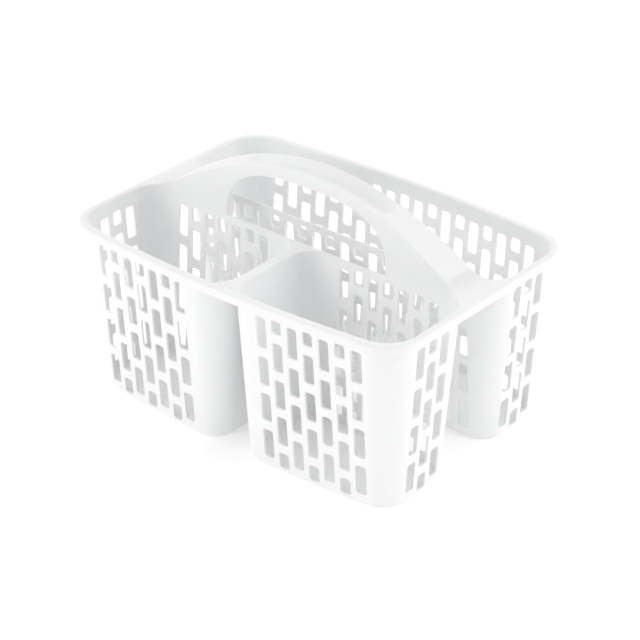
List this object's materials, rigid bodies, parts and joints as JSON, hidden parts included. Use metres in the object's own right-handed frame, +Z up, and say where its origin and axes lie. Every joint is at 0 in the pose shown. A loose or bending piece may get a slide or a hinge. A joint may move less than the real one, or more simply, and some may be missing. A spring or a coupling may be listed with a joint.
{
  "type": "shower caddy",
  "caption": "White plastic shower caddy with slotted, drafted bins, a divider between the front bins, a lipped rim and a fixed arched carry handle.",
  "frame": {"origin": "centre of the bounding box at the level the caddy stands on", "axes": "+X to the right along the length, +Y from the two front bins to the rear bin, +Z up"},
  "size_m": [0.301, 0.217, 0.1822],
  "materials": {
    "top_rim": "satin white moulded polypropylene",
    "front_left_bin": "satin white moulded polypropylene",
    "front_left_floor": "satin white moulded polypropylene",
    "front_right_bin": "satin white moulded polypropylene",
    "front_right_floor": "satin white moulded polypropylene",
    "rear_bin": "satin white moulded polypropylene",
    "rear_floor": "satin white moulded polypropylene",
    "divider_deck": "satin white moulded polypropylene",
    "carry_handle": "satin white moulded polypropylene"
  },
  "bodies": {
    "root": {"top_rim": "top_rim", "front_left_bin": "front_left_bin", "front_left_floor": "front_left_floor", "front_right_bin": "front_right_bin", "front_right_floor": "front_right_floor", "rear_bin": "rear_bin", "rear_floor": "rear_floor", "divider_deck": "divider_deck", "carry_handle": "carry_handle"}
  },
  "joints": []
}
